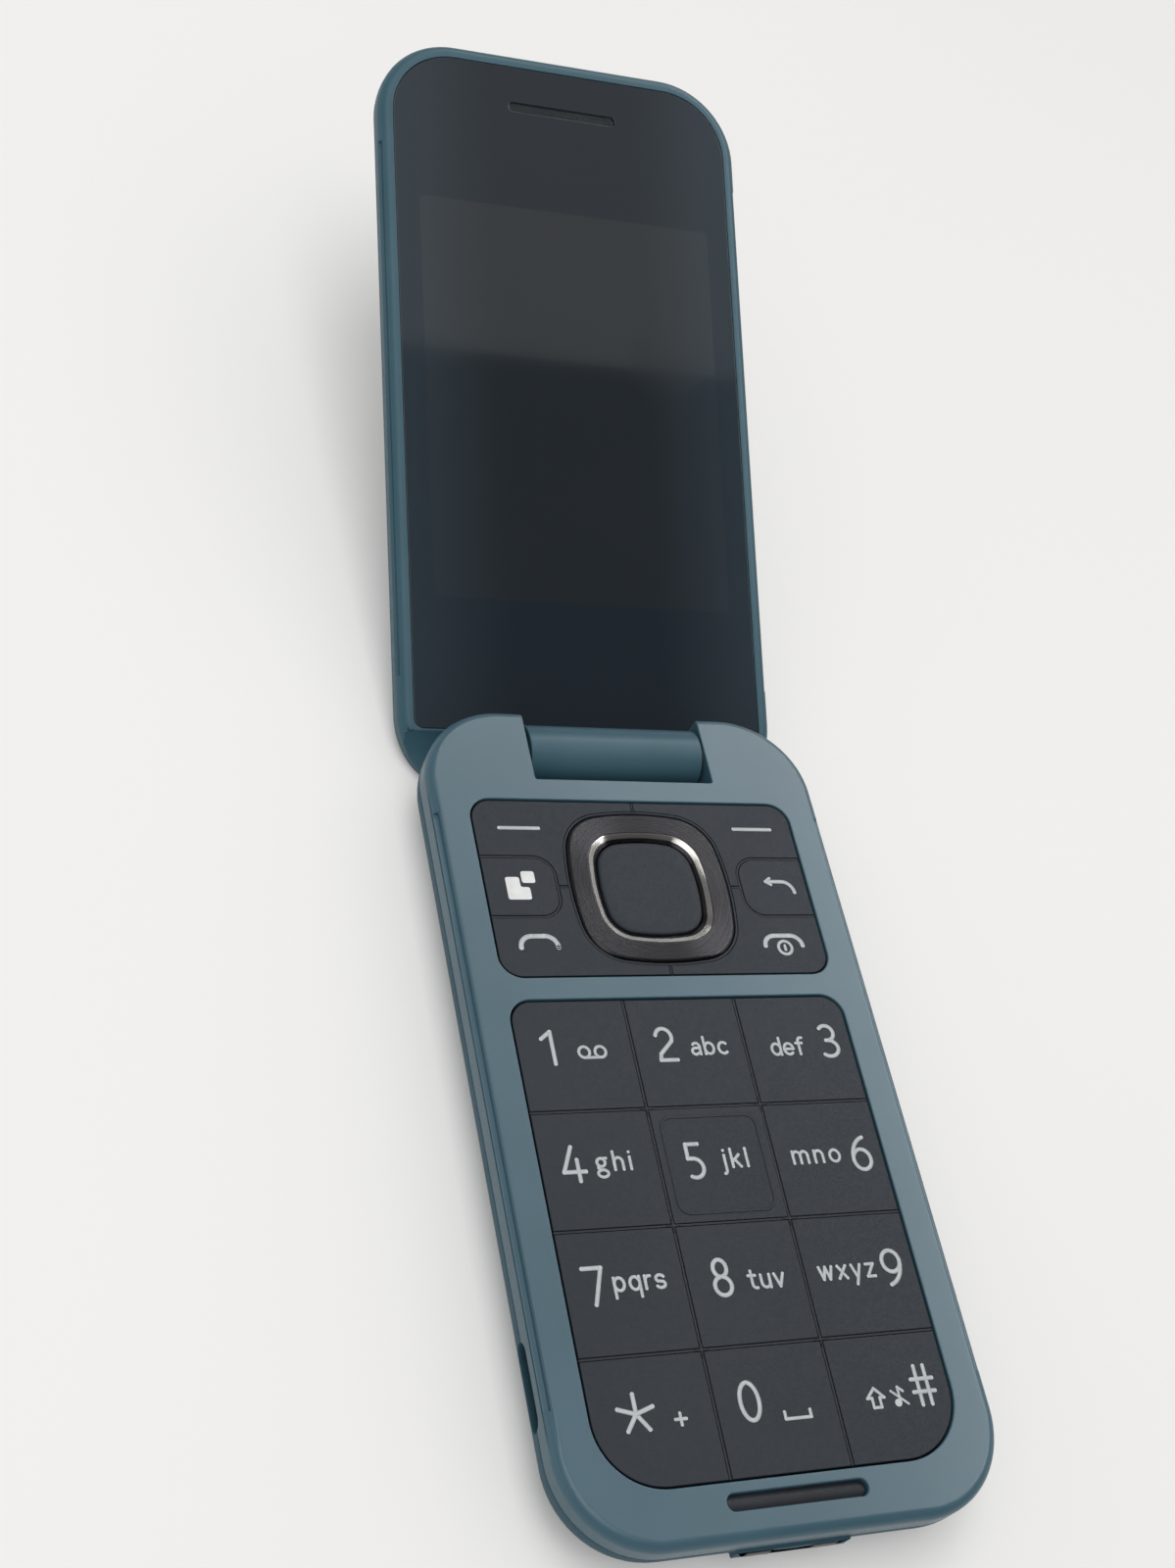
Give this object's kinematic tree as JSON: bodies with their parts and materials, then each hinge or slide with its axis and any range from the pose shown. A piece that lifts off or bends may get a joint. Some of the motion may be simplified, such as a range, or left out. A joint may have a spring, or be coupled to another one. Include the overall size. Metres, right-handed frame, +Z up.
{
  "type": "flip phone",
  "caption": "Clamshell mobile phone with a keypad base, a four-way ring and a display lid that folds over the keys on a barrel hinge.",
  "frame": {"origin": "middle of the base's flat back, which lies on the table", "axes": "+X to the user's right, +Y from the keypad towards the hinge and lid, +Z up out of the keypad"},
  "size_m": [0.0553, 0.2019, 0.0435],
  "materials": {
    "shell": "satin slate blue moulding",
    "key_cap": "matte charcoal film caps",
    "ring_metal": "spun gun metal",
    "window": "black-backed gloss window",
    "lcd": "dark display stack",
    "lens": "coated dark lens",
    "diffuser": "clear ribbed diffuser",
    "grille": "fine dark mesh",
    "contact": "dark plated pads",
    "steel": "bare steel",
    "cell": "foil-wrapped cell",
    "board": "solder mask",
    "rubber": "silicone sheet",
    "module": "black moulded case",
    "flex": "rolled film cable"
  },
  "bodies": {
    "base": {"base_front_housing": "shell", "base_rear_housing": "shell", "battery_cover": "shell", "battery": "cell", "main_board": "board", "key_mat": "rubber", "dome_switches": "steel", "mic_grille": "grille", "microphone": "module", "loudspeaker": "module", "vibration_motor": "steel", "usb_socket": "steel", "card_holder": "steel", "cradle_contacts": "contact", "base_screws": "steel", "hinge_shaft": "steel", "hinge_bush": "steel"},
    "lid": {"lid_inner_housing": "shell", "lid_outer_cover": "shell", "display_window": "window", "display_panel": "lcd", "outer_window": "window", "outer_display": "lcd", "lid_board": "board", "camera_module": "module", "camera_bezel": "ring_metal", "camera_lens": "lens", "flash_lens": "diffuser", "earpiece": "module", "earpiece_grille": "grille", "lid_magnet": "steel", "hinge_unit": "steel", "hinge_flex": "flex"},
    "key_1": {"key_1": "key_cap"},
    "key_2": {"key_2": "key_cap"},
    "key_3": {"key_3": "key_cap"},
    "key_4": {"key_4": "key_cap"},
    "key_5": {"key_5": "key_cap"},
    "key_6": {"key_6": "key_cap"},
    "key_7": {"key_7": "key_cap"},
    "key_8": {"key_8": "key_cap"},
    "key_9": {"key_9": "key_cap"},
    "key_star": {"key_star": "key_cap"},
    "key_0": {"key_0": "key_cap"},
    "key_hash": {"key_hash": "key_cap"},
    "soft_key_left": {"soft_key_left": "key_cap"},
    "soft_key_right": {"soft_key_right": "key_cap"},
    "call_key": {"call_key": "key_cap"},
    "end_key": {"end_key": "key_cap"},
    "shortcut_key": {"shortcut_key": "key_cap"},
    "back_key": {"back_key": "key_cap"},
    "select_key": {"select_key": "key_cap"},
    "nav_gimbal": {"nav_gimbal": "module"},
    "nav_ring": {"nav_ring": "ring_metal"},
    "volume_rocker": {"volume_rocker": "shell"},
    "side_button": {"side_button": "shell"}
  },
  "joints": [
    {"name": "lid_hinge", "type": "hinge", "parent": "base", "child": "lid", "pos_m": [0, 0.0494, 0.0074], "axis": [1, 0, 0], "range_deg": [0, 157]},
    {"name": "key_1_press", "type": "slide", "parent": "base", "child": "key_1", "axis": [0, 0, -1], "range_m": [0, 0.00035], "stiffness_N_per_m": 1500},
    {"name": "key_2_press", "type": "slide", "parent": "base", "child": "key_2", "axis": [0, 0, -1], "range_m": [0, 0.00035], "stiffness_N_per_m": 1500},
    {"name": "key_3_press", "type": "slide", "parent": "base", "child": "key_3", "axis": [0, 0, -1], "range_m": [0, 0.00035], "stiffness_N_per_m": 1500},
    {"name": "key_4_press", "type": "slide", "parent": "base", "child": "key_4", "axis": [0, 0, -1], "range_m": [0, 0.00035], "stiffness_N_per_m": 1500},
    {"name": "key_5_press", "type": "slide", "parent": "base", "child": "key_5", "axis": [0, 0, -1], "range_m": [0, 0.00035], "stiffness_N_per_m": 1500},
    {"name": "key_6_press", "type": "slide", "parent": "base", "child": "key_6", "axis": [0, 0, -1], "range_m": [0, 0.00035], "stiffness_N_per_m": 1500},
    {"name": "key_7_press", "type": "slide", "parent": "base", "child": "key_7", "axis": [0, 0, -1], "range_m": [0, 0.00035], "stiffness_N_per_m": 1500},
    {"name": "key_8_press", "type": "slide", "parent": "base", "child": "key_8", "axis": [0, 0, -1], "range_m": [0, 0.00035], "stiffness_N_per_m": 1500},
    {"name": "key_9_press", "type": "slide", "parent": "base", "child": "key_9", "axis": [0, 0, -1], "range_m": [0, 0.00035], "stiffness_N_per_m": 1500},
    {"name": "key_star_press", "type": "slide", "parent": "base", "child": "key_star", "axis": [0, 0, -1], "range_m": [0, 0.00035], "stiffness_N_per_m": 1500},
    {"name": "key_0_press", "type": "slide", "parent": "base", "child": "key_0", "axis": [0, 0, -1], "range_m": [0, 0.00035], "stiffness_N_per_m": 1500},
    {"name": "key_hash_press", "type": "slide", "parent": "base", "child": "key_hash", "axis": [0, 0, -1], "range_m": [0, 0.00035], "stiffness_N_per_m": 1500},
    {"name": "soft_key_left_press", "type": "slide", "parent": "base", "child": "soft_key_left", "axis": [0, 0, -1], "range_m": [0, 0.00035], "stiffness_N_per_m": 1500},
    {"name": "soft_key_right_press", "type": "slide", "parent": "base", "child": "soft_key_right", "axis": [0, 0, -1], "range_m": [0, 0.00035], "stiffness_N_per_m": 1500},
    {"name": "call_key_press", "type": "slide", "parent": "base", "child": "call_key", "axis": [0, 0, -1], "range_m": [0, 0.00035], "stiffness_N_per_m": 1500},
    {"name": "end_key_press", "type": "slide", "parent": "base", "child": "end_key", "axis": [0, 0, -1], "range_m": [0, 0.00035], "stiffness_N_per_m": 1500},
    {"name": "shortcut_key_press", "type": "slide", "parent": "base", "child": "shortcut_key", "axis": [0, 0, -1], "range_m": [0, 0.00035], "stiffness_N_per_m": 1500},
    {"name": "back_key_press", "type": "slide", "parent": "base", "child": "back_key", "axis": [0, 0, -1], "range_m": [0, 0.00035], "stiffness_N_per_m": 1500},
    {"name": "select_key_press", "type": "slide", "parent": "base", "child": "select_key", "axis": [0, 0, -1], "range_m": [0, 0.00035], "stiffness_N_per_m": 1500},
    {"name": "ring_up_down", "type": "hinge", "parent": "base", "child": "nav_gimbal", "pos_m": [0, 0.0272, 0.0096], "axis": [1, 0, 0], "range_deg": [-1, 1], "stiffness_Nm_per_rad": 0.6},
    {"name": "ring_left_right", "type": "hinge", "parent": "nav_gimbal", "child": "nav_ring", "pos_m": [0, 0.0272, 0.0096], "axis": [0, 1, 0], "range_deg": [-1, 1], "stiffness_Nm_per_rad": 0.6},
    {"name": "volume_rock", "type": "hinge", "parent": "base", "child": "volume_rocker", "pos_m": [0.0256, 0.018, 0.00615], "axis": [0, 0, 1], "range_deg": [-1.5, 1.5], "stiffness_Nm_per_rad": 0.3},
    {"name": "side_button_press", "type": "slide", "parent": "base", "child": "side_button", "axis": [-1, 0, 0], "range_m": [0, 0.0003], "stiffness_N_per_m": 2000}
  ]
}
